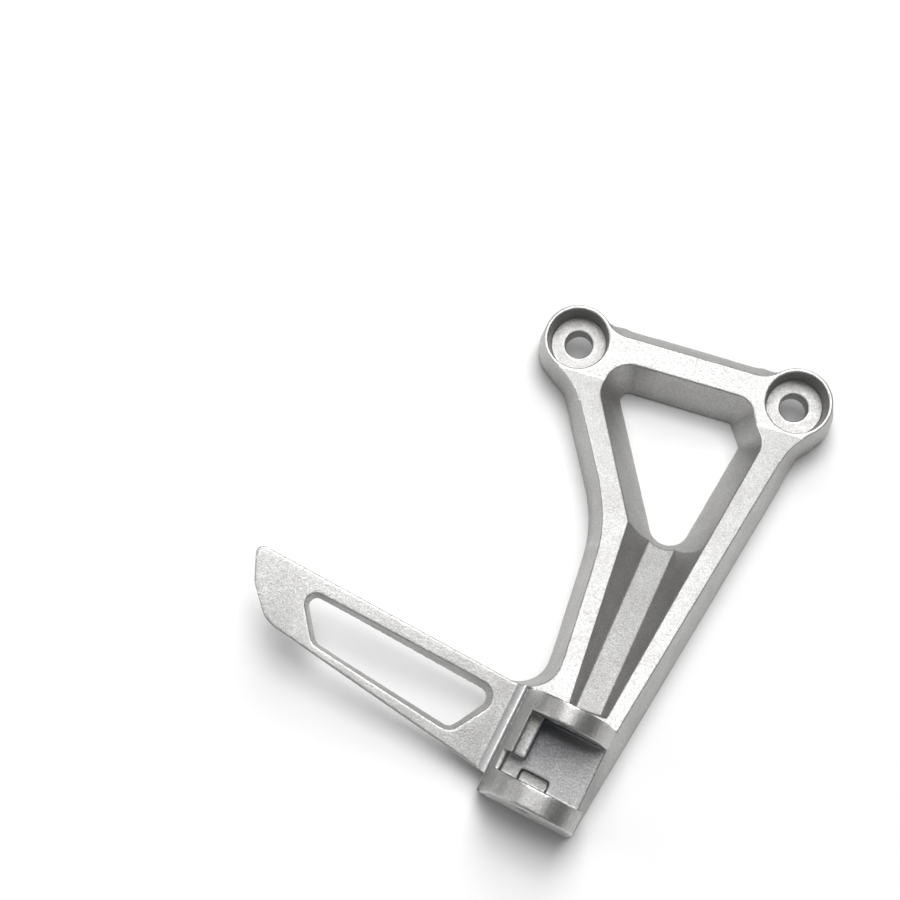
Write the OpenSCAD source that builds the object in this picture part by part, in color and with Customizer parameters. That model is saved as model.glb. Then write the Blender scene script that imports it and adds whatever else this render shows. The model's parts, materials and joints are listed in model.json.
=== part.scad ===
// Motorcycle footrest hanger: one casting that carries a folding peg and a heel guard.
// Millimetres. The origin is on the mounting face, midway between the two bolt holes.
// +Z points outboard along the bolts, +X runs from the left boss to the right one.

/* [Bolt bosses] */
// Distance between the two bolt holes
bolt_pitch = 73.5; // [70:0.5:80]
// Radius of each bolt hole
hole_r = 4.5; // [3.5:0.1:5.5]
// Height of each boss, from the mounting face to its rim
boss_h = 18; // [16:0.5:21]
// Outer radius of a boss at its rim
boss_r = 11.3; // [10.6:0.1:12.6]
// Radius of the counterbore at the rim
cbore_r = 10; // [9.3:0.1:10.2]
// Radius of the counterbore at its floor
cbore_floor_r = 9.2; // [7.6:0.1:9.2]
// Depth of the counterbore
cbore_depth = 9.5; // [7:0.5:11]

/* [Frame] */
// Angle at which the legs rise from the mounting face
leg_angle = 25.9; // [24:0.1:28]
// Distance from the bolt line to the crease where the legs start to rise
crease_y = 10.7; // [9:0.1:12.7]
// Distance from the bolt line to the clevis
leg_len = 112; // [106:0.5:118]
// Sideways slope of the outer flanks per unit of depth
flank_slope = 0.25; // [0.21:0.01:0.27]
// Sideways slope of the boss walls per unit of depth
boss_slope = 0.15; // [0.12:0.01:0.18]
// Sideways slope of the top bar's outer face per unit of depth
bar_slope = 0.36; // [0.3:0.01:0.4]
// Sideways slope of the window walls per unit of depth
window_slope = 0.34; // [0.28:0.01:0.36]
// Distance from the bolt line to the outer edge of the top bar
bar_out = 5; // [4:0.1:6]
// Distance from the bolt line to the inner edge of the top bar
bar_in = 3.3; // [2.7:0.1:4]
// Width of the straight leg's top at the bolt bosses
straight_w = 7.6; // [6.8:0.1:9]
// Distance from the bolt line to the bend of the bent leg
bend_y = 56.5; // [54:0.5:59]
// Distance from the left bolt line to the outer edge of the bent leg, at the bend
bend_x = 27.5; // [26.4:0.1:28.6]
// Radius of the long round at the bend
bend_r = 40; // [30:1:50]
// Radius of the hollow fillets beside the top bar
neck_r = 9; // [7:0.5:11]
// Radius of the hollow fillet between a boss and its leg
leg_neck_r = 22; // [18:0.5:26]
// Radius of the hollow fillet between the bent leg and the guard
root_r = 11; // [9.5:0.5:13]
// Thickness of the web below the window
web_t = 5; // [4:0.1:6]
// Depth of the web below the top of the legs, at the clevis
web_drop = 3; // [2.4:0.1:3.6]

/* [Clevis] */
// Angle between the pin and the long axis of the hanger
clevis_turn = 8.5; // [7:0.1:10]
// Angle at which the clevis floor rises away from the legs
clevis_tilt = 5.4; // [4:0.1:7]
// Distance from the left bolt line to the clevis, across the hanger
clevis_in = 20.9; // [20:0.1:22]
// Width of the clevis, from the guard to its open side
clevis_w = 28.5; // [27:0.1:30]
// Gap between the two ears
ear_gap = 18.4; // [16:0.1:20]
// Thickness of the ear beside the legs
ear_t = 5.8; // [5:0.1:6.8]
// Thickness of the outer ear at its foot
outer_t = 7.8; // [7:0.1:8.8]
// Angle at which the outer ear's outside face leans in
outer_draft = 4; // [2.5:0.1:5]
// Radius of the rounded top of an ear
ear_r = 11.5; // [10.6:0.1:12.2]
// Extra length of the outer ear's rounded top
ear_run = 2.8; // [2.2:0.1:3.4]
// Height of the pin axis above the clevis floor
pin_h = 8.5; // [7:0.1:10]
// Radius of the pin bore
pin_r = 4.1; // [3.4:0.1:4.8]
// Height of the stop pad above the clevis floor
pad_h = 6; // [5:0.1:7]
// Width of the stop pad
pad_w = 3.6; // [3:0.1:4.4]
// Depth of the small recess in the clevis floor
recess_d = 3; // [2.5:0.1:3.6]

/* [Guard] */
// Thickness of the heel guard
guard_t = 5; // [4.2:0.1:6]
// Length of the guard, from the clevis to its tip
guard_len = 86; // [82:0.5:92]
// Width of the guard at the clevis
guard_root = 27; // [26:0.1:28]
// Distance of the guard's top below the clevis floor
guard_drop = 3; // [2.5:0.1:3.6]
// Angle at which the guard rises towards its tip
guard_angle = 5.4; // [4:0.1:6.5]
// Width of the frame around the guard's window
guard_rim = 4; // [3.4:0.1:4.6]
// Distance from the guard's tip to its window
window_tip = 21.6; // [19:0.1:25]
// Distance from the clevis to the guard's window
window_root = 11.6; // [10:0.1:14]
// Radius of the guard window's corners
window_r = 2.4; // [2:0.1:2.8]
// Height of the bevel around the guard's window
bevel_h = 1.4; // [1.2:0.1:1.8]

/* [Hidden] */
$fn = 96;
eps = 0.02;
// how far a round reaches into the face that it meets
sink = 0.01;
alloy = [0.72, 0.73, 0.74];

// Frame: all heights are above the mounting face
rise = tan(leg_angle);
half = bolt_pitch / 2;
// height of the top surface of the legs at a distance y from the bolt line
function top_z(y) = boss_h + rise * max(0, -y - crease_y);

// Clevis: corner beside the guard, on the face towards the legs
clevis_x = -half + clevis_in;
clevis_y = -leg_len;
open_x = clevis_x + clevis_w * cos(clevis_turn);
open_y = clevis_y - clevis_w * sin(clevis_turn);
clevis_len = ear_gap + ear_t + outer_t;
floor_z = top_z(clevis_y) + 3.9;
pin_u = clevis_w / 2 + 0.5;
pad_u = 4.9;

// Lines on the top of the legs, each as [x at the bolt line, change of x per y]
function through(p, q) = [p[0] - p[1] * (p[0] - q[0]) / (p[1] - q[1]), (p[0] - q[0]) / (p[1] - q[1])];
straight_out = through([half + 0.3, -20], [open_x - 0.2, open_y]);
straight_in = through([half + 0.3 - straight_w, -20], [open_x - 4.8, open_y]);
bent_up = through([-half + 6.4, -20], [-half + bend_x, -bend_y]);
bent_low = through([-half + bend_x, -bend_y], [clevis_x + 7.4, clevis_y]);

// A drafted wall at height z: the line on the top of the legs, moved out by k per unit of depth
function wall(l, k, z) = [l[0] + k * (boss_h - rise * crease_y - z), l[1] - k * rise];
function cross_y(a, b) = (a[0] - b[0]) / (b[1] - a[1]);
function meet(a, b) = [a[0] + a[1] * cross_y(a, b), cross_y(a, b)];
function at_y(a, y) = [a[0] + a[1] * y, y];
function w_so(z) = wall(straight_out, flank_slope * 1.03, z);
function w_bu(z) = wall(bent_up, -flank_slope * 1.16, z);
function w_bl(z) = wall(bent_low, -flank_slope, z);

z_low = -3;
// above the legs at the far end of the clevis
z_high = top_z(clevis_y - clevis_len) - 0.7;
// longer than the whole part
far = leg_len + guard_len;
neck_slope = (flank_slope + boss_slope) / 2;

// A straight-sided solid between an outline at z_low and one at z_high
module drafted(low, high) {
    hull() {
        translate([0, 0, z_low])
            linear_extrude(eps)
                polygon(low);
        translate([0, 0, z_high])
            linear_extrude(eps)
                polygon(high);
    }
}

// Line across the hanger at a distance v from the clevis face towards the legs
function clevis_line(v) = [
    clevis_x + v * sin(clevis_turn) + (clevis_y + v * cos(clevis_turn)) / tan(clevis_turn),
    -1 / tan(clevis_turn)
];

// Outline of the legs and the clevis at height z, before the hollow beside the bent leg is taken out
function frame_outline(z) =
    let (
        y = bar_out + bar_slope * (boss_h - z)
    )
    [
        [-half - 1, y],
        at_y(w_so(z), y) - [8, 0],
        at_y(w_so(z), y - 8),
        meet(w_so(z), clevis_line(-clevis_len)),
        [
            clevis_x - clevis_len * sin(clevis_turn) - 6 * cos(clevis_turn),
            clevis_y - clevis_len * cos(clevis_turn) + 6 * sin(clevis_turn)
        ]
    ];

// Outline of that hollow at height z, without its rounded tip
function hollow_outline(z) = [
    [-110, 30],
    at_y(w_bu(z), 30),
    at_y(w_bu(z), -bend_y + 20),
    at_y(w_bl(z), -bend_y - 20),
    at_y(w_bl(z), clevis_y),
    [-110, clevis_y]
];

// A side view, run across the whole width
module across() {
    translate([-far, 0, 0])
        rotate([90, 0, 90])
            linear_extrude(2 * far)
                children();
}

// Side view of the space above the mounting face and the back of the legs
module above_back() {
    across()
        polygon([
            [far, 0],
            [far, far],
            [-far, far],
            [-far, top_z(-far) - boss_h],
            [-crease_y, 0]
        ]);
}

// Side view of the space above the top of the legs
module above_legs() {
    across()
        polygon([
            [far, boss_h],
            [far, 2 * far],
            [-far, 2 * far],
            [-far, top_z(-far)],
            [-crease_y, boss_h]
        ]);
}

// Hollow fillet between a boss at bx and a wall, both seen at rim height.
// The wall passes through p and runs along the unit vector d; n points away from the metal.
module neck(bx, p, d, n, r, k) {
    off = (bx - p[0]) * n[0] + (0 - p[1]) * n[1];
    along = (bx - p[0]) * d[0] + (0 - p[1]) * d[1];
    reach = sqrt(pow(boss_r - 3 * sink + r, 2) - pow(r - off, 2));
    fc = [
        p[0] + d[0] * (along + reach) + n[0] * (r - sink),
        p[1] + d[1] * (along + reach) + n[1] * (r - sink)
    ];
    foot = [fc[0] - n[0] * r, fc[1] - n[1] * r];
    difference() {
        linear_extrude(boss_h + 40)
            polygon([
                [bx, 0],
                fc,
                [foot[0], foot[1]],
                [foot[0] - n[0] * 3, foot[1] - n[1] * 3]
            ]);
        translate([fc[0], fc[1], -1])
            cylinder(
                h = boss_h + 42,
                r1 = r - k * (boss_h + 1),
                r2 = r + k * 41
            );
    }
}

module bosses() {
    for (s = [-1, 1])
        translate([s * half, 0, 0])
            cylinder(h = boss_h, r1 = boss_r + boss_slope * boss_h, r2 = boss_r);
}

function unit(l) = [-l[1], -1] / sqrt(1 + l[1] * l[1]);

module necks() {
    neck(-half, [0, bar_out], [1, 0], [0, 1], neck_r, bar_slope);
    neck(half, [0, bar_out], [-1, 0], [0, 1], neck_r, bar_slope);
    so = w_so(boss_h);
    bu = w_bu(boss_h);
    ds = unit(so);
    db = unit(bu);
    neck(half, at_y(so, 0), ds, [-ds[1], ds[0]], leg_neck_r, neck_slope);
    neck(-half, at_y(bu, 0), db, [db[1], -db[0]], leg_neck_r, neck_slope);
}

// Hollow beside the bent leg; its tip, at the bend, is a long round
module bend_hollow() {
    c = meet(w_bu(boss_h), w_bl(boss_h));
    u = unit(w_bu(boss_h));
    l = unit(w_bl(boss_h));
    fc = c - bend_r * tan(acos(u * l) / 2) * u + bend_r * [u[1], -u[0]];
    hull() {
        translate([0, 0, z_low])
            linear_extrude(eps)
                polygon(hollow_outline(z_low));
        translate([0, 0, z_high])
            linear_extrude(eps)
                polygon(hollow_outline(z_high));
        translate([fc[0], fc[1], z_low])
            cylinder(
                h = z_high - z_low,
                r1 = bend_r - flank_slope * (boss_h - z_low),
                r2 = bend_r + flank_slope * (z_high - boss_h)
            );
    }
}

// Hollow fillet between the bent leg's flank and the back of the guard, leaning with the flank
module root_fillet() {
    zt = floor_z - 6;
    lean = atan(flank_slope);
    r = root_r * cos(lean);
    k = w_bl(zt);
    cy = clevis_y + r;
    translate([k[0] + k[1] * cy - root_r * 1.01, cy, zt])
        rotate([0, lean, 0])
            difference() {
                translate([0, -r - 3, -40])
                    cube([r + 7, r + 3, 50]);
                translate([0, 0, -41])
                    cylinder(h = 52, r = r);
            }
}

// Legs, top bar and the block under the clevis floor
module frame_blank() {
    difference() {
        intersection() {
            union() {
                difference() {
                    drafted(frame_outline(z_low), frame_outline(z_high));
                    bend_hollow();
                    translate([clevis_x, clevis_y, z_low - 1])
                        rotate([0, 0, -clevis_turn])
                            translate([-far, -far, 0])
                                cube([far, far + 2, far]);
                }
                necks();
                root_fillet();
            }
            above_back();
        }
        intersection() {
            above_legs();
            in_clevis()
                translate([-far, -0.4, -far])
                    cube(2 * far);
        }
        in_clevis()
            translate([-far, -far, 0])
                cube([2 * far, far - 0.4 + sink, far]);
        along_pin(-0.4 + 2 * sink, 80)
            polygon([[-8, -guard_drop], [0.6, -guard_drop], [3.4, 0.01], [3.4, 5], [-8, 5]]);
    }
    bosses();
}

// A cone that widens upwards at the window's draft; r is its radius at rim height
module draft_cone(x, y, r) {
    z0 = boss_h - r / window_slope;
    translate([x, y, z0])
        cylinder(h = z_high - z0, r1 = 0, r2 = window_slope * (z_high - z0), $fn = 48);
}

module window_cut() {
    hull() {
        draft_cone(-half + 21.1, -bar_in - 8.5, 8.5);
        draft_cone(half - 18.5, -bar_in - 7, 7);
        draft_cone(half - 14.8, -bar_in - 13.7, 6.5);
        draft_cone(-half + bend_x + 18.7, -bend_y + 6.8, 5.8);
    }
}

// Recess between the legs, from the window to the clevis
module web_cut() {
    y1 = -bend_y + 6;
    y2 = clevis_y - 1.5;
    d2 = web_drop;
    d1 = boss_h - web_t + (boss_h - web_t - d2) * 8 / (leg_len - bend_y);
    k = 0.58;
    up = 8;
    xa = clevis_x + 12.9;
    xb = at_y(straight_in, y2)[0];
    xc = at_y(straight_in, y1)[0];
    hull()
        polyhedron(
            points = [
                [xa + k * d1, y1, top_z(y1) - d1],
                [xc - k * d1, y1, top_z(y1) - d1],
                [xb - k * d2, y2, top_z(y2) - d2],
                [xa + k * d2, y2, top_z(y2) - d2],
                [xa - k * up, y1, top_z(y1) + up],
                [xc + k * up, y1, top_z(y1) + up],
                [xb + k * up, y2, top_z(y2) + up],
                [xa - k * up, y2, top_z(y2) + up]
            ],
            faces = [[0, 1, 2, 3], [7, 6, 5, 4], [0, 4, 5, 1], [1, 5, 6, 2], [2, 6, 7, 3], [3, 7, 4, 0]]
        );
}

module in_clevis() {
    translate([clevis_x, clevis_y, floor_z])
        rotate([0, 0, -clevis_turn])
            rotate([-clevis_tilt, 0, 0])
                children();
}

// Outline of an ear in the plane across the pin; run lengthens its rounded top
module ear_shape(run) {
    c = [pin_u, pin_h];
    e = [pin_u + run, pin_h];
    r = ear_r - sink;
    translate(c)
        circle(ear_r);
    translate(e)
        circle(ear_r);
    polygon([
        [0.2, -guard_drop - 3],
        [0.6, -guard_drop],
        tangent([0.6, -guard_drop], c, r, 1),
        c + [0, r],
        e + [0, r],
        tangent([clevis_w - 0.6, 0], e, r, -1),
        [clevis_w - 0.6, 0],
        [clevis_w - 0.2, -guard_drop - 3]
    ]);
}

// Point where a line from p touches a circle; side picks the left or the right one
function tangent(p, c, r, side) =
    let (
        d = norm(c - p),
        base = atan2(p[1] - c[1], p[0] - c[0]),
        turn = acos(r / d)
    )
    c + r * [cos(base - side * turn), sin(base - side * turn)];

module along_pin(v, length) {
    in_clevis()
        translate([0, v, 0])
            rotate([90, 0, 0])
                linear_extrude(length)
                    children();
}

// Both ears and the wall beside the guard; the wall keeps a raised stop pad
module ears() {
    inner = -ear_t - ear_gap;
    pad_end = -ear_t - ear_gap * 0.68;
    difference() {
        union() {
            along_pin(0, ear_t + ear_gap + 1)
                ear_shape(0);
            along_pin(inner, outer_t)
                ear_shape(ear_run);
        }
        in_clevis() {
            translate([pad_u + pad_w, inner, 0])
                cube([60, ear_gap, 60]);
            translate([pad_u, inner, pad_h])
                cube([60, ear_gap, 60]);
            translate([pad_u - 1.4, inner, 0])
                cube([60, pad_end - inner, 60]);
            // low end of the wall, past the pad
            translate([-20, inner, pad_h * 0.6])
                cube([60, pad_end - inner, 60]);
            translate([-20, -clevis_len, -guard_drop])
                rotate([-outer_draft, 0, 0])
                    translate([0, -10, -1])
                        cube([80, 10, 60]);
        }
    }
}

module recess() {
    in_clevis()
        translate([pad_u + 4, -ear_t - ear_gap, -recess_d])
            linear_extrude(recess_d + 1)
                rounded_outline([[0, 0], [8.6, 0], [8.6, 3.4], [0, 3.4]], [0.1, 0.1, 1, 1]);
}

module pin_bore() {
    in_clevis()
        translate([pin_u, 1, pin_h])
            rotate([90, 0, 0])
                cylinder(h = clevis_len + 2, r = pin_r);
}

// Guard outline in its own plane: a raked, slightly curved tip with a rounded corner at each end
tip_top = [-guard_len - 2.4, 2];
tip_low = [-guard_len + 11, -17.2];
guard_toe = [3, -guard_root];

function towards(a, b, s) = a + (b - a) * s / norm(b - a);
function half_angle(a, c, b) = acos(((a - c) * (b - c)) / norm(a - c) / norm(b - c)) / 2;
function corner_start(a, c, b, r) = towards(c, a, r / tan(half_angle(a, c, b)));
function corner_mid(a, c, b, r) =
    towards(
        c,
        (corner_start(a, c, b, r) + corner_start(b, c, a, r)) / 2,
        r / sin(half_angle(a, c, b))
    );

// Convex plate outline whose corners are true arcs
module rounded_outline(p, r) {
    n = len(p);
    polygon([
        for (i = [0:n - 1])
            each [
                corner_start(p[(i + n - 1) % n], p[i], p[(i + 1) % n], r[i]),
                corner_start(p[(i + 1) % n], p[i], p[(i + n - 1) % n], r[i])
            ]
    ]);
    for (i = [0:n - 1])
        translate(corner_mid(p[(i + n - 1) % n], p[i], p[(i + 1) % n], r[i]))
            circle(r[i] + sink);
}

module guard_shape() {
    rounded_outline([[3, -0.3], tip_top, [-guard_len + 2.6, -8.6], tip_low, guard_toe], [0.5, 2.2, 6, 9.5, 0.5]);
}

module in_guard() {
    in_clevis()
        translate([0, 0, -guard_drop])
            rotate([0, guard_angle, 0])
                children();
}

module guard_plate() {
    in_guard()
        translate([0, 0, -guard_t])
            linear_extrude(guard_t)
                guard_shape();
}

module corner(x, y, r, grow) {
    translate([x, y, -guard_t - 1])
        cylinder(h = guard_t + 1 - bevel_h, r = r, $fn = 32);
    translate([x, y, -bevel_h])
        cylinder(h = bevel_h + 0.5, r1 = r, r2 = r + grow, $fn = 32);
}

module guard_window() {
    low = guard_root - guard_rim;
    in_guard()
        hull() {
            corner(-guard_len + window_tip, -guard_rim - window_r, window_r - 0.4, 0.93 * bevel_h);
            corner(-window_root, -guard_rim - window_r - 2.2, window_r, 1.57 * bevel_h);
            corner(-window_root - 4.6, -low + window_r + 3.7, window_r, 1.29 * bevel_h);
            corner(-guard_len + window_tip + 6.6, -low + window_r + 8.2, window_r + 1, 0.93 * bevel_h);
        }
}

module hanger_casting() {
    color(alloy)
        difference() {
            union() {
                frame_blank();
                ears();
                guard_plate();
            }
            window_cut();
            web_cut();
            recess();
            pin_bore();
            guard_window();
            for (s = [-1, 1])
                translate([s * half, 0, 0]) {
                    translate([0, 0, -1])
                        cylinder(h = boss_h + 2, r = hole_r);
                    translate([0, 0, boss_h - cbore_depth])
                        cylinder(h = cbore_depth + eps, r1 = cbore_floor_r, r2 = cbore_r);
                }
        }
}

hanger_casting();
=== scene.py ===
"""Looks of a bare cast aluminium footrest hanger, lying on its back on a pale studio floor.

Lengths are in metres and follow the part's own frame: the origin is on the mounting face,
midway between the bolt holes, with +Z along the bolts and -Y towards the clevis.
"""

import json
import math

import bmesh
import bpy
import numpy as np
from mathutils import Matrix, Vector

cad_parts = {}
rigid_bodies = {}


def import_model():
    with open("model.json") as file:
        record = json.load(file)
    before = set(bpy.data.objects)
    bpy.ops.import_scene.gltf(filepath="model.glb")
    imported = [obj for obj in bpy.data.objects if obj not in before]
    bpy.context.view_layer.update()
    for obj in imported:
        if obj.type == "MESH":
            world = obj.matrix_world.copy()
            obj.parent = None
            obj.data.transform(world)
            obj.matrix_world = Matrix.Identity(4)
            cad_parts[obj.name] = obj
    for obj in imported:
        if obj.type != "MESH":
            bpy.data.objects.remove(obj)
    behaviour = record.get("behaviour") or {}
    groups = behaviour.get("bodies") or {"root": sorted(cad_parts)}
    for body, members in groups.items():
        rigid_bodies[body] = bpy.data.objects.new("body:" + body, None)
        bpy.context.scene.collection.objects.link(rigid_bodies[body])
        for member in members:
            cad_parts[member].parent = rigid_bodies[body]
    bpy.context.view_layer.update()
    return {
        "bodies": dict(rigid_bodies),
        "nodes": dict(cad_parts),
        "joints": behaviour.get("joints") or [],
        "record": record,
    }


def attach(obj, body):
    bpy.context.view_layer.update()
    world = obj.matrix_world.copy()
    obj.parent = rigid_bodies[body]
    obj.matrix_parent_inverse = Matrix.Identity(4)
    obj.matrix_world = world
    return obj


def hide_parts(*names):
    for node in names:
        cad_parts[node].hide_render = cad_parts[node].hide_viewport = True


bl_info = {
    "name": "Footrest Hanger",
    "version": (1, 0, 0),
    "blender": (4, 5, 0),
    "location": "View3D > Sidebar > Footrest Hanger",
    "description": "Builds the casting's rounded skin, its cast metal finish and a soft studio",
    "category": "Object",
}

MM = 0.001

# Legs: height of the mounting face's crease and slope of their back
CREASE_Y = -10.7 * MM
LEG_ANGLE = math.radians(25.9)

# Clevis: its corner beside the guard, its turn about Z and its tilt about the pin's cross axis
CLEVIS_ORIGIN = Vector((-15.85, -112.0, 71.09)) * MM
CLEVIS_TURN = math.radians(8.5)
CLEVIS_TILT = math.radians(5.4)
PIN_U = 14.75 * MM
PIN_W = 8.5 * MM

# Bead along the root of the guard, in millimetres across the clevis
RIDGE_U = -0.3
RIDGE_LEFT = 3.4
RIDGE_RIGHT = 1.6
RIDGE_TALL = 1.3

# Half the distance between the bolts
BOLT_X = 36.75 * MM

# How far a fully rounded edge bulges beyond its neighbouring points
EDGE_BULGE = 0.07 * MM

# Camera: the rows are its right, up and back directions and its place
CAMERA_ROWS = (
    (0.94512, -0.29172, 0.14715, 0.00624),
    (0.30927, 0.94401, -0.11491, -0.10395),
    (-0.10539, 0.15411, 0.98242, 0.49799),
)
CAMERA_LENS = 59.652
CAMERA_SENSOR = 36.0


def linear(hex_colour):
    """Turns an sRGB hex colour into linear RGBA."""
    value = hex_colour.lstrip("#")
    parts = [int(value[i : i + 2], 16) / 255 for i in (0, 2, 4)]
    rgb = [c / 12.92 if c <= 0.04045 else ((c + 0.055) / 1.055) ** 2.4 for c in parts]
    return (*rgb, 1.0)


def per_metre(size_mm):
    """Texture scale at which one noise cell is about size_mm across."""
    return 1000.0 / size_mm


def add_node(tree, kind, inputs=None, **settings):
    """Adds a node, sets its properties, and sets or links its inputs."""
    node = tree.nodes.new(kind)
    for key, value in settings.items():
        setattr(node, key, value)
    for key, value in (inputs or {}).items():
        if isinstance(value, bpy.types.NodeSocket):
            tree.links.new(value, node.inputs[key])
        else:
            node.inputs[key].default_value = value
    return node


def new_material(name):
    """Makes an empty node material with an output and returns both."""
    material = bpy.data.materials.new(name)
    material.use_nodes = True
    tree = material.node_tree
    tree.nodes.clear()
    output = tree.nodes.new("ShaderNodeOutputMaterial")
    return material, tree, output


def noise(tree, place, size_mm, detail=2.0, roughness=0.5):
    """Noise whose cells are about size_mm across."""
    node = add_node(
        tree,
        "ShaderNodeTexNoise",
        {"Vector": place, "Scale": per_metre(size_mm), "Detail": detail, "Roughness": roughness},
    )
    return node.outputs["Fac"]


def remap(tree, value, low, high, to_low, to_high):
    """Maps low..high to to_low..to_high, clamped."""
    node = add_node(
        tree,
        "ShaderNodeMapRange",
        {"Value": value, "From Min": low, "From Max": high, "To Min": to_low, "To Max": to_high},
    )
    return node.outputs["Result"]


def math_node(tree, operation, a, b):
    """One arithmetic step on two values."""
    node = add_node(tree, "ShaderNodeMath", {0: a, 1: b}, operation=operation)
    return node.outputs["Value"]


def mix_socket_inputs(node):
    """Colour inputs of a Mix node."""
    return [s for s in node.inputs if s.type == "RGBA"]


def blend(tree, factor, a, b):
    """Blends two colours, each a socket or an RGBA tuple."""
    node = tree.nodes.new("ShaderNodeMix")
    node.data_type = "RGBA"
    first, second = mix_socket_inputs(node)
    if isinstance(factor, bpy.types.NodeSocket):
        tree.links.new(factor, node.inputs[0])
    else:
        node.inputs[0].default_value = factor
    for socket, value in ((first, a), (second, b)):
        if isinstance(value, bpy.types.NodeSocket):
            tree.links.new(value, socket)
        else:
            socket.default_value = value
    return [s for s in node.outputs if s.type == "RGBA"][0]


def cast_aluminium(settings):
    """Shot-blasted cast aluminium: a bright matt grey with a fine sandy grain, clouded a little,
    lighter and smoother where edges are worn, lighter still along the crest of the guard's bead
    as a painted highlight, and darker in hollows and the clevis pocket as painted shade."""
    material, tree, output = new_material("cast_aluminium_blasted")
    place = add_node(tree, "ShaderNodeTexCoord").outputs["Object"]
    grain = noise(tree, place, settings.grain_mm, 3.0, 0.6)
    speck = noise(tree, place, settings.grain_mm * 2.0, 2.0, 0.55)
    cloud = noise(tree, place, 9.0, 3.0, 0.5)
    polish = add_node(tree, "ShaderNodeAttribute", attribute_name="polish").outputs["Fac"]
    wear_and_ridge_highlight = add_node(tree, "ShaderNodeAttribute", attribute_name="edge").outputs["Fac"]
    # The bead's crest is lightened as a painted highlight, on top of the lighter worn edges.
    ridge_highlight = add_node(tree, "ShaderNodeAttribute", attribute_name="ridge_highlight").outputs["Fac"]
    wear_and_ridge_highlight = math_node(tree, "MAXIMUM", wear_and_ridge_highlight, math_node(tree, "MULTIPLY", ridge_highlight, 1.4))
    hollow = add_node(tree, "ShaderNodeAttribute", attribute_name="hollow").outputs["Fac"]

    tone = remap(tree, cloud, 0.35, 0.65, 0.0, 1.0)
    base = blend(tree, tone, linear(settings.colour_dark), linear(settings.colour_light))
    fine = remap(tree, grain, 0.35, 0.65, 0.0, 0.7)
    base = blend(tree, fine, base, linear("#939291"))
    # Lighter on worn edges, and on the crest of the guard's bead as a painted highlight.
    base = blend(tree, math_node(tree, "MULTIPLY", wear_and_ridge_highlight, 0.6), base, linear("#dcdddf"))
    # Painted shade: darker in hollows and creases and in the clevis pocket, where shade falls.
    pocket = add_node(tree, "ShaderNodeAttribute", attribute_name="pocket").outputs["Fac"]
    painted_shade = math_node(tree, "MAXIMUM", math_node(tree, "MULTIPLY", hollow, 0.35), pocket)
    base = blend(tree, painted_shade, base, linear("#626469"))

    matt = remap(tree, speck, 0.3, 0.7, settings.roughness - 0.05, settings.roughness + 0.06)
    smooth = math_node(tree, "MULTIPLY", polish, 0.06)
    matt = math_node(tree, "SUBTRACT", matt, smooth)
    worn = math_node(tree, "MULTIPLY", wear_and_ridge_highlight, 0.08)
    matt = math_node(tree, "SUBTRACT", matt, worn)

    height = math_node(tree, "MULTIPLY", grain, 1.0)
    height = math_node(tree, "ADD", height, math_node(tree, "MULTIPLY", speck, 0.5))
    keep = remap(tree, polish, 0.0, 1.0, 1.0, 0.45)
    height = math_node(tree, "MULTIPLY", height, keep)
    bump = add_node(
        tree,
        "ShaderNodeBump",
        {"Height": height, "Strength": settings.grain_strength, "Distance": 0.08 * MM},
    )
    wave = add_node(
        tree,
        "ShaderNodeBump",
        {"Height": cloud, "Strength": 0.12, "Distance": 0.35 * MM, "Normal": bump.outputs["Normal"]},
    )
    shader = add_node(
        tree,
        "ShaderNodeBsdfPrincipled",
        {"Base Color": base, "Metallic": 1.0, "Roughness": matt, "Normal": wave.outputs["Normal"]},
    )
    tree.links.new(shader.outputs["BSDF"], output.inputs["Surface"])
    return material


def floor_paper(settings):
    """Plain white studio paper: flat and matt, it keeps the part's soft shadow, and a painted contact
    shadow darkens it close to the part.
    """
    material, tree, output = new_material("studio_paper_white")
    place = add_node(tree, "ShaderNodeTexCoord").outputs["Object"]
    fibre = noise(tree, place, 40.0, 2.0)
    tone = remap(tree, fibre, 0.3, 0.7, 0.0, 1.0)
    base = blend(tree, tone, linear("#f7f7f7"), linear("#fafafa"))
    # Painted contact shadow: an ambient occlusion node darkens the paper close to the part.
    near = add_node(tree, "ShaderNodeAmbientOcclusion", {"Distance": 10 * MM}, samples=8).outputs["AO"]
    painted_contact_shadow = remap(tree, near, 0.2, 0.85, 0.6, 0.0)
    base = blend(tree, painted_contact_shadow, base, linear("#3c3d40"))
    shader = add_node(
        tree,
        "ShaderNodeBsdfPrincipled",
        {"Base Color": base, "Roughness": 0.95, "Specular IOR Level": 0.1},
    )
    rays = add_node(tree, "ShaderNodeLightPath").outputs
    seen = math_node(tree, "MAXIMUM", rays["Is Camera Ray"], rays["Is Glossy Ray"])
    seen = math_node(tree, "MAXIMUM", seen, rays["Is Transmission Ray"])
    lift = math_node(tree, "MULTIPLY", seen, settings.floor_lift)
    glow = add_node(tree, "ShaderNodeEmission", {"Color": linear("#ffffff"), "Strength": lift})
    both = add_node(tree, "ShaderNodeAddShader", {0: shader.outputs["BSDF"], 1: glow.outputs["Emission"]})
    tree.links.new(both.outputs["Shader"], output.inputs["Surface"])
    return material


def clevis_matrix():
    """Frame of the clevis: X across it from the guard, Y along the pin towards the legs, Z up."""
    turn = Matrix.Rotation(-CLEVIS_TURN, 4, "Z")
    tilt = Matrix.Rotation(-CLEVIS_TILT, 4, "X")
    return Matrix.Translation(CLEVIS_ORIGIN) @ turn @ tilt


def evaluated_mesh(obj):
    """Mesh of the object with its modifiers applied."""
    graph = bpy.context.evaluated_depsgraph_get()
    graph.update()
    return bpy.data.meshes.new_from_object(obj.evaluated_get(graph))


def apply_modifiers(obj):
    """Bakes the modifiers into the mesh and removes them."""
    mesh = evaluated_mesh(obj)
    obj.modifiers.clear()
    obj.data = mesh


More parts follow.
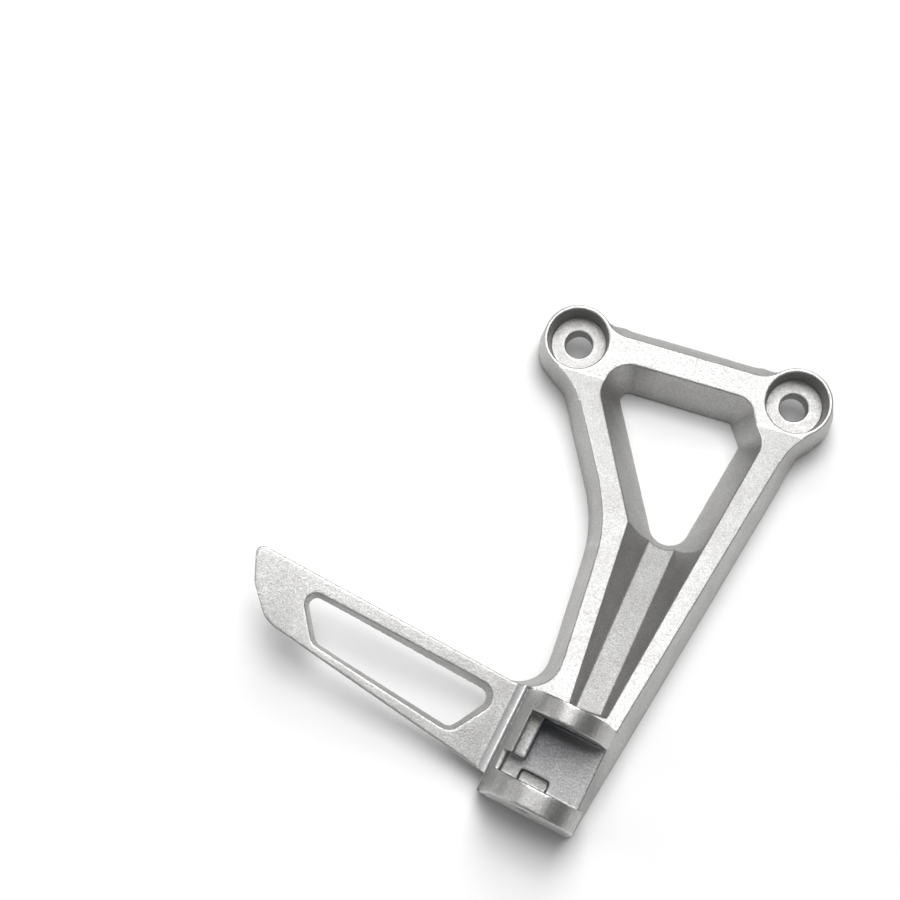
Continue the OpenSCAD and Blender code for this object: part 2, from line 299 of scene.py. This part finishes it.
def soft_weight(point, frame):
    """How much extra rounding a point gets: the bosses' sides flow into the bar and the legs."""
    x, y, z = (c / MM for c in point)
    away = math.hypot(abs(x) - BOLT_X / MM, y)
    rim = max(0.0, min(1.0, (15.5 - z) / 3.0)) * max(0.0, min(1.0, (z + 0.5) / 1.5))
    side = 1.0 if 12.0 < away < 27.0 and (y > 2.0 or abs(x) > BOLT_X / MM - 9.0) else 0.0
    inside = 1.0 if y < 2.0 and abs(x) < BOLT_X / MM - 9.0 else 0.0
    return rim * side * (1.0 - inside)


def ridge_profile(u, v):
    """Bead along the root of the guard, from 0 at its feet to 1 at its crest."""
    wide = RIDGE_LEFT if u < RIDGE_U else RIDGE_RIGHT
    if not -33.0 < v < 0.6 or abs(u - RIDGE_U) > wide:
        return 0.0
    return math.cos(math.pi / 2 * (u - RIDGE_U) / wide) ** 2


def pocket_shade(u, v, w):
    """How much painted shade the clevis pocket gets: darkest in the corner between the stop pad and the
    ear.
    """
    if not (4.6 < u < 29.5 and -24.6 < v < -5.4 and w < 4.6):
        return 0.0
    away = math.hypot((u - 8.0) * 0.8, v + 6.0)
    return 0.25 + 0.75 * max(0.0, 1.0 - away / 17.0)


def skin_from_solid(node, settings):
    """Casting skin: the solid, remeshed finely, with its edges and corners rounded."""
    mesh = node.data.copy()
    mesh.name = "casting_skin"
    work = bmesh.new()
    work.from_mesh(mesh)
    bmesh.ops.remove_doubles(work, verts=work.verts, dist=0.002 * MM)
    work.to_mesh(mesh)
    work.free()
    mesh.materials.clear()
    skin = bpy.data.objects.new("casting_skin", mesh)
    bpy.context.collection.objects.link(skin)

    remesh = skin.modifiers.new("remesh", "REMESH")
    remesh.mode = "SHARP"
    remesh.octree_depth = settings.mesh_depth
    remesh.scale = 0.99
    remesh.sharpness = 1.0
    remesh.use_remove_disconnected = False
    smooth = skin.modifiers.new("round", "SMOOTH")
    smooth.factor = 0.5
    smooth.iterations = settings.round_passes
    apply_modifiers(skin)

    frame = clevis_matrix().inverted()
    group = skin.vertex_groups.new(name="soft")
    for vertex in skin.data.vertices:
        weight = soft_weight(vertex.co, frame)
        if weight > 0.01:
            group.add([vertex.index], weight, "REPLACE")
    bead = skin.modifiers.new("bead", "SMOOTH")
    bead.factor = 0.5
    bead.iterations = 120
    bead.vertex_group = "soft"
    apply_modifiers(skin)
    back = clevis_matrix()
    for vertex in skin.data.vertices:
        u, v, w = (c / MM for c in frame @ vertex.co)
        share = ridge_profile(u, v)
        crest = share * RIDGE_TALL - 3.0
        if share > 0.0 and -4.0 < w < crest:
            vertex.co = back @ (Vector((u, v, crest)) * MM)
    thin = skin.modifiers.new("thin", "DECIMATE")
    thin.ratio = min(1.0, 92000 / max(1, len(skin.data.polygons)))
    apply_modifiers(skin)
    skin.vertex_groups.clear()

    polish = skin.data.attributes.new("polish", "FLOAT", "POINT")
    pocket = skin.data.attributes.new("pocket", "FLOAT", "POINT")
    ridge_highlight = skin.data.attributes.new("ridge_highlight", "FLOAT", "POINT")
    for index, vertex in enumerate(skin.data.vertices):
        u, v, w = (c / MM for c in frame @ vertex.co)
        reach = math.hypot(u - PIN_U / MM, w - PIN_W / MM)
        ear = (-6.2 < v < 0.4 or -33.0 < v < -23.8) and w > -1.0 and -1.0 < u < 30.0
        polish.data[index].value = 1.0 if ear and reach > 9.5 else 0.0
        # Painted shade in the clevis pocket.
        pocket.data[index].value = pocket_shade(u, v, w)
        # Painted highlight along the crest of the guard's bead.
        ridge_highlight.data[index].value = ridge_profile(u, v) ** 2 if -3.2 < w < -1.2 else 0.0
    mark_edges(skin.data)
    for polygon in skin.data.polygons:
        polygon.use_smooth = True
    return skin


def mark_edges(mesh):
    """Stores how far each point bulges out ("edge") or sinks in ("hollow"), from 0 to 1."""
    count = len(mesh.vertices)
    places = np.empty(count * 3, dtype=np.float32)
    mesh.vertices.foreach_get("co", places)
    places = places.reshape(-1, 3)
    normals = np.empty(count * 3, dtype=np.float32)
    mesh.vertex_normals.foreach_get("vector", normals)
    normals = normals.reshape(-1, 3)
    pairs = np.empty(len(mesh.edges) * 2, dtype=np.int32)
    mesh.edges.foreach_get("vertices", pairs)
    pairs = pairs.reshape(-1, 2)
    step = places[pairs[:, 1]] - places[pairs[:, 0]]
    bulge = np.zeros(count)
    valence = np.zeros(count)
    np.add.at(bulge, pairs[:, 0], -(step * normals[pairs[:, 0]]).sum(axis=1))
    np.add.at(bulge, pairs[:, 1], (step * normals[pairs[:, 1]]).sum(axis=1))
    np.add.at(valence, pairs[:, 0], 1)
    np.add.at(valence, pairs[:, 1], 1)
    bulge /= np.maximum(valence, 1)
    for _ in range(6):
        total = bulge.copy()
        np.add.at(total, pairs[:, 0], bulge[pairs[:, 1]])
        np.add.at(total, pairs[:, 1], bulge[pairs[:, 0]])
        bulge = total / (valence + 1)
    bulge /= EDGE_BULGE
    for name, values in (("edge", bulge), ("hollow", -bulge)):
        layer = mesh.attributes.new(name, "FLOAT", "POINT")
        layer.data.foreach_set("value", np.clip(values, 0.0, 1.0).astype(np.float32))


def stage_matrix():
    """Frame of the studio: Z is the floor's normal and X runs along the picture's width."""
    normal = Vector((0.0, math.sin(LEG_ANGLE), math.cos(LEG_ANGLE)))
    right = Vector((CAMERA_ROWS[0][0], CAMERA_ROWS[1][0], CAMERA_ROWS[2][0]))
    right = (right - normal * right.dot(normal)).normalized()
    back = normal.cross(right)
    turn = Matrix((right, back, normal)).transposed().to_4x4()
    middle = Vector((-30.0 * MM, CREASE_Y - 60.0 * MM, 60.0 * MM * math.tan(LEG_ANGLE)))
    return Matrix.Translation(middle) @ turn


def soft_lamp(name, stage, place, aim, size, power):
    """Area lamp at a place in the studio's frame, aimed at a point of it."""
    data = bpy.data.lights.new(name, "AREA")
    data.shape = "RECTANGLE"
    data.size = size[0]
    data.size_y = size[1]
    data.energy = power
    lamp = bpy.data.objects.new(name, data)
    bpy.context.collection.objects.link(lamp)
    start = stage @ Vector(place)
    target = stage @ Vector(aim)
    lamp.rotation_mode = "QUATERNION"
    lamp.rotation_quaternion = (target - start).to_track_quat("-Z", "Y")
    lamp.location = start
    return lamp


class HANGER_casting_settings(bpy.types.PropertyGroup):
    """Shape and finish of the casting's skin."""

    mesh_depth: bpy.props.IntProperty(name="Mesh fineness", default=9, min=6, max=9)
    round_passes: bpy.props.IntProperty(name="Rounding passes", default=9, min=1, max=20)
    grain_mm: bpy.props.FloatProperty(name="Grain size (mm)", default=0.5, min=0.2, max=1.5)
    grain_strength: bpy.props.FloatProperty(name="Grain strength", default=0.55, min=0.0, max=1.0)
    roughness: bpy.props.FloatProperty(name="Roughness", default=0.48, min=0.2, max=0.8)
    colour_dark: bpy.props.StringProperty(name="Darker tone", default="#b8b7b6")
    colour_light: bpy.props.StringProperty(name="Lighter tone", default="#c5c5c3")


class HANGER_stage_settings(bpy.types.PropertyGroup):
    """Studio: floor, lamps and camera."""

    key_power: bpy.props.FloatProperty(name="Overhead lamp (W)", default=6.7, min=0.0, max=100.0)
    side_power: bpy.props.FloatProperty(name="Side lamp (W)", default=2.9, min=0.0, max=100.0)
    left_power: bpy.props.FloatProperty(name="Left lamp (W)", default=1.6, min=0.0, max=100.0)
    floor_lift: bpy.props.FloatProperty(name="Floor lift", default=0.03, min=0.0, max=1.0)
    sky_strength: bpy.props.FloatProperty(name="Sky strength", default=0.2, min=0.0, max=2.0)


class HANGER_OT_casting(bpy.types.Operator):
    """Builds the casting's rounded skin and gives it its cast metal finish"""

    bl_idname = "hanger.casting"
    bl_label = "Casting"

    def execute(self, context):
        settings = context.scene.hanger_casting
        node = bpy.data.objects[context.scene.hanger_node]
        skin = skin_from_solid(node, settings)
        metal = cast_aluminium(settings)
        skin.data.materials.append(metal)
        node.data.materials.clear()
        node.data.materials.append(metal)
        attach(skin, "root")
        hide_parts("hanger_casting")
        return {"FINISHED"}


class HANGER_OT_stage(bpy.types.Operator):
    """Builds the pale floor, the soft lamps, the sky and the camera"""

    bl_idname = "hanger.stage"
    bl_label = "Stage"

    def execute(self, context):
        settings = context.scene.hanger_stage
        stage = stage_matrix()
        mesh = bpy.data.meshes.new("studio_floor")
        work = bmesh.new()
        bmesh.ops.create_grid(work, x_segments=1, y_segments=1, size=2.0)
        bmesh.ops.transform(work, matrix=stage, verts=work.verts)
        work.to_mesh(mesh)
        work.free()
        floor = bpy.data.objects.new("studio_floor", mesh)
        context.collection.objects.link(floor)
        floor.data.materials.append(floor_paper(settings))

        soft_lamp("key", stage, (0.0, 0.0, 1.0), (0, 0, 0), (0.55, 0.55), settings.key_power)
        soft_lamp("side", stage, (0.15, 0.51, 0.848), (0, 0, 0), (0.6, 0.6), settings.side_power)
        soft_lamp("left", stage, (-0.883, 0.0, 0.469), (0, 0, 0), (0.5, 0.8), settings.left_power)

        world = bpy.data.worlds.new("studio_sky")
        world.use_nodes = True
        sky = world.node_tree.nodes["Background"]
        sky.inputs["Color"].default_value = linear("#ffffff")
        sky.inputs["Strength"].default_value = settings.sky_strength
        context.scene.world = world

        data = bpy.data.cameras.new("camera")
        data.sensor_fit = "HORIZONTAL"
        data.sensor_width = CAMERA_SENSOR
        data.lens = CAMERA_LENS
        data.clip_start = 0.01
        data.clip_end = 20.0
        camera = bpy.data.objects.new("camera", data)
        context.collection.objects.link(camera)
        camera.matrix_world = Matrix((*CAMERA_ROWS, (0, 0, 0, 1)))
        context.scene.camera = camera
        context.scene.view_settings.view_transform = "Standard"
        return {"FINISHED"}


class HANGER_PT_panel(bpy.types.Panel):
    """Sidebar panel with the settings and the two builders"""

    bl_idname = "HANGER_PT_panel"
    bl_label = "Footrest Hanger"
    bl_space_type = "VIEW_3D"
    bl_region_type = "UI"
    bl_category = "Footrest Hanger"

    def draw(self, context):
        layout = self.layout
        for owner in (context.scene.hanger_casting, context.scene.hanger_stage):
            box = layout.box()
            for key in owner.__annotations__:
                box.prop(owner, key)
        layout.operator(HANGER_OT_casting.bl_idname)
        layout.operator(HANGER_OT_stage.bl_idname)


CLASSES = (
    HANGER_casting_settings,
    HANGER_stage_settings,
    HANGER_OT_casting,
    HANGER_OT_stage,
    HANGER_PT_panel,
)


def register():
    """Registers the classes and the scene's settings."""
    for cls in CLASSES:
        bpy.utils.register_class(cls)
    bpy.types.Scene.hanger_casting = bpy.props.PointerProperty(type=HANGER_casting_settings)
    bpy.types.Scene.hanger_stage = bpy.props.PointerProperty(type=HANGER_stage_settings)
    bpy.types.Scene.hanger_node = bpy.props.StringProperty(name="Solid", default="hanger_casting")


def unregister():
    """Removes the settings and the classes."""
    del bpy.types.Scene.hanger_node
    del bpy.types.Scene.hanger_stage
    del bpy.types.Scene.hanger_casting
    for cls in reversed(CLASSES):
        bpy.utils.unregister_class(cls)


def main():
    """Loads the frame and builds the parts of the scene."""
    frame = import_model()
    register()
    bpy.context.scene.hanger_node = frame["nodes"]["hanger_casting"].name
    bpy.ops.hanger.casting()
    bpy.ops.hanger.stage()


if __name__ == "__main__":
    main()
